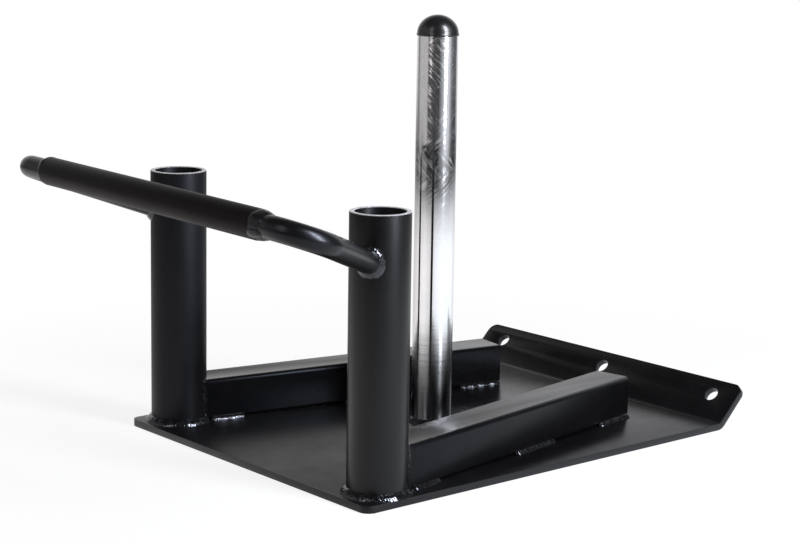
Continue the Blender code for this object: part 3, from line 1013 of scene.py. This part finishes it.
postFoot = Matrix.Translation((0, sled["postY"], sled["plateTop"]))
addWeld("postBaseWeld", roundBase(postFoot, post["radius"], 0, math.tau),
        weld["postLeg"], 1, "post_base_weld", closed=True)
for side, word in sides.items():
    seed = 10 + 20 * side
    foot = Matrix.Translation((0, 0, sled["plateTop"])) @ railPlace(side)
    gap = weld["baseGap"]
    addWeld(word + "SocketBaseWeld",
            roundBase(foot, socket["radius"], math.pi / 2 + gap, math.tau - 2 * gap),
            weld["baseLeg"], seed, word + "_socket_base_weld")
    addWeld(word + "HandleWeld", roundHandle(side), weld["handleLeg"], seed + 1,
            word + "_handle_weld", closed=True)
    addWeld(word + "GripWeld", roundGripEnd(side), weld["gripLeg"], seed + 2,
            word + "_grip_weld", closed=True, look="collar")
    for face in (1, -1):
        edge = "Outer" if face == side else "Inner"
        addWeld(word + "Rail" + edge + "SocketWeld", upSocket(side, face), weld["climbLeg"],
                seed + 3 + face, word + "_rail_" + edge.lower() + "_socket_weld")
        for place, (begin, length) in weld["stitches"].items():
            addWeld(word + "Rail" + edge + place.capitalize() + "Stitch",
                    alongRail(side, face, begin, length), weld["stitchLeg"],
                    seed + 6 + face + begin * 10,
                    "_".join((word, "rail", edge.lower(), place, "stitch")),
                    sink=weld["stitchSink"])
print("welds done")


# Camera at the photograph's angle

shot = {
    "place": (1.7665, -1.5004, 0.6371),
    "turn": math.radians(49.64),
    "pitch": math.radians(9.18),
    "roll": math.radians(0.88),
    "lens": 90.04,
    "sensor": 36,
    "shiftY": -0.07,
}

lensData = bpy.data.cameras.new("camera")
camera = bpy.data.objects.new("camera", lensData)
bpy.context.scene.collection.objects.link(camera)
lensData.lens = shot["lens"]
lensData.sensor_width = shot["sensor"]
lensData.shift_y = shot["shiftY"]
camera.matrix_world = (Matrix.Translation(shot["place"])
                       @ Matrix.Rotation(shot["turn"], 4, "Z")
                       @ Matrix.Rotation(math.pi / 2 - shot["pitch"], 4, "X")
                       @ Matrix.Rotation(shot["roll"], 4, "Z"))
bpy.context.scene.camera = camera
bpy.context.scene.view_settings.view_transform = "Standard"


# Floor, sky and lamps

studio = {
    "floorRadius": 9.0,
    "floorLevel": -0.0002,     # just below the underside of the sled
    "floorWhite": 0.82,
    "shadow": 0.13,            # how much of the shadow is kept beside the sled
    "shadowReach": (0.4, 0.88),      # metres from the middle over which the rest goes white
    "sky": 0.15,
    "dark": 0.04,              # added to every reflection of the sky
    "mirrorReach": 6.0,        # metres that the ramps of the mirrored floor span
    "nearWhite": 1.4,          # how white the near floor is in reflections
    # level by bearing: white backdrop behind, a dim box to the left, a bright one to the right
    "walls": ((0.0, 1.0), (0.1, 0.8), (0.15, 0.2), (0.21, 0.52), (0.34, 0.52), (0.365, 0.04),
              (0.53, 0.03), (0.575, 0.35), (0.64, 0.9), (0.69, 0.9), (0.74, 0.25), (0.79, 0.08),
              (0.86, 0.12), (0.9, 0.9), (1.0, 1.0)),
    "nearFloor": ((0.0, 0.5), (0.12, 0.6), (0.2, 0.72), (0.35, 0.85), (0.45, 0.65), (0.53, 0.9),
                  (0.6, 1.0), (0.8, 1.0), (1.0, 0.5)),
    "warm": (1.0, 0.975, 0.965, 1),      # tints of the left and the right side
    "cool": (0.93, 0.965, 1.0, 1),
}


def bearingOf(make, way):
    # once round from behind the sled: a quarter is to the camera's left, half towards it
    right = camera.matrix_world.to_3x3() @ Vector((1, 0, 0))
    towards = Vector((right.y, -right.x, 0))
    across = make.measure("DOT_PRODUCT", way, right)
    ahead = make.measure("DOT_PRODUCT", way, towards)
    return make.node("Math", {"operation": "ARCTAN2"}, {0: across, 1: ahead}) / math.tau + 0.5


def farWalls(make, bearing):
    return make.ramp(bearing, *studio["walls"])


def lampTint(make, bearing):
    side = make.ramp(bearing, (0.42, 0.0), (0.56, 1.0), (0.8, 1.0), (1.0, 0.5))
    return make.mixColour(side, studio["warm"], studio["cool"])


def mirroredFloor(make):
    # what shiny things show of the floor: white close by, dim further off but for the boxes
    here = make.place(shift=(0, -sled["postY"], 0))
    away = make.measure("LENGTH", here) / studio["mirrorReach"]
    bearing = bearingOf(make, here)
    near = make.ramp(bearing, *studio["nearFloor"]) * studio["nearWhite"]
    close = make.ramp(away, (0.2, 1.0), (0.3, 0.7), (0.4, 0.25), (0.48, 0.0))
    dip = make.ramp(away, (0.4, 0.15), (0.55, 0.2), (0.9, 0.8))
    level = near * close + farWalls(make, bearing) * dip * (1 - close)
    return make.node("Emission", {}, {"Color": lampTint(make, bearing), "Strength": level})


def makeFloor():
    deselectAll()
    bpy.ops.mesh.primitive_circle_add(vertices=96, radius=studio["floorRadius"],
                                      fill_type="NGON",
                                      location=(0, 0, studio["floorLevel"]))
    obj = nameNew("floor")
    settle(obj)
    make = Recipe(bpy.data.materials.new("floorWhite"))
    white = studio["floorWhite"]
    cloth = make.node("BsdfDiffuse", {}, {"Color": (white, white, white, 1)})
    glow = make.node("Emission", {}, {"Color": (1, 1, 1, 1), "Strength": 1.0})
    begin, end = studio["shadowReach"]
    away = make.measure("LENGTH", make.place())
    far = make.ramp(away, (begin, 1 - studio["shadow"]), (end, 1.0))
    seen = make.node("MixShader", {}, {0: far, 1: cloth, 2: glow})
    glossy = make.node("LightPath", output="Is Glossy Ray")
    either = make.node("MixShader", {}, {0: glossy, 1: seen, 2: mirroredFloor(make)})
    make.node("OutputMaterial", {}, {"Surface": either})
    obj.data.materials.append(make.owner)


def makeSky():
    # white for the camera, soft grey light, and the studio's walls in reflections
    world = bpy.data.worlds.new("studio")
    bpy.context.scene.world = world
    make = Recipe(world)
    look = make.node("TexCoord", output="Generated")
    bearing = bearingOf(make, look)
    low = make.ramp(make.measure("DOT_PRODUCT", look, (0, 0, 1)), (0.42, 1.0), (0.7, 0.12))
    room = farWalls(make, bearing) * low + studio["dark"]
    mirrored = make.node("Background", {}, {"Color": lampTint(make, bearing), "Strength": room})
    soft = make.node("Background", {}, {"Color": (1, 1, 1, 1), "Strength": studio["sky"]})
    white = make.node("Background", {}, {"Color": (1, 1, 1, 1), "Strength": 1.0})
    glossy = make.node("LightPath", output="Is Glossy Ray")
    plain = make.node("LightPath", output="Is Camera Ray")
    lit = make.node("MixShader", {}, {0: glossy, 1: soft, 2: mirrored})
    both = make.node("MixShader", {}, {0: plain, 1: lit, 2: white})
    make.node("OutputWorld", {}, {"Surface": both})


lamps = {
    # way: direction from the sled in camera terms (right, up, towards the camera)
    "leftBox": {"way": (-0.51, 0.42, 0.73), "away": 2.4, "watts": 7, "size": (0.6, 1.5),
                "tint": (1.0, 0.93, 0.94)},
    "rightBox": {"way": (0.64, 0.40, 0.58), "away": 2.4, "watts": 125, "size": (0.55, 1.9),
                 "tint": (0.90, 0.94, 1.0)},
}


def addLamp(name, kit):
    lamp = bpy.data.lights.new(name, "AREA")
    lamp.shape = "RECTANGLE"
    lamp.size, lamp.size_y = kit["size"]
    lamp.energy = kit["watts"]
    lamp.color = kit["tint"]
    obj = bpy.data.objects.new(name, lamp)
    bpy.context.scene.collection.objects.link(obj)
    way = camera.matrix_world.to_3x3() @ Vector(kit["way"])
    aim = Vector((0, 0, 0.2))
    obj.location = aim + way.normalized() * kit["away"]
    obj.rotation_euler = way.to_track_quat("Z", "Y").to_euler()


makeFloor()
makeSky()
for name, kit in lamps.items():
    addLamp(name, kit)
print("studio done")
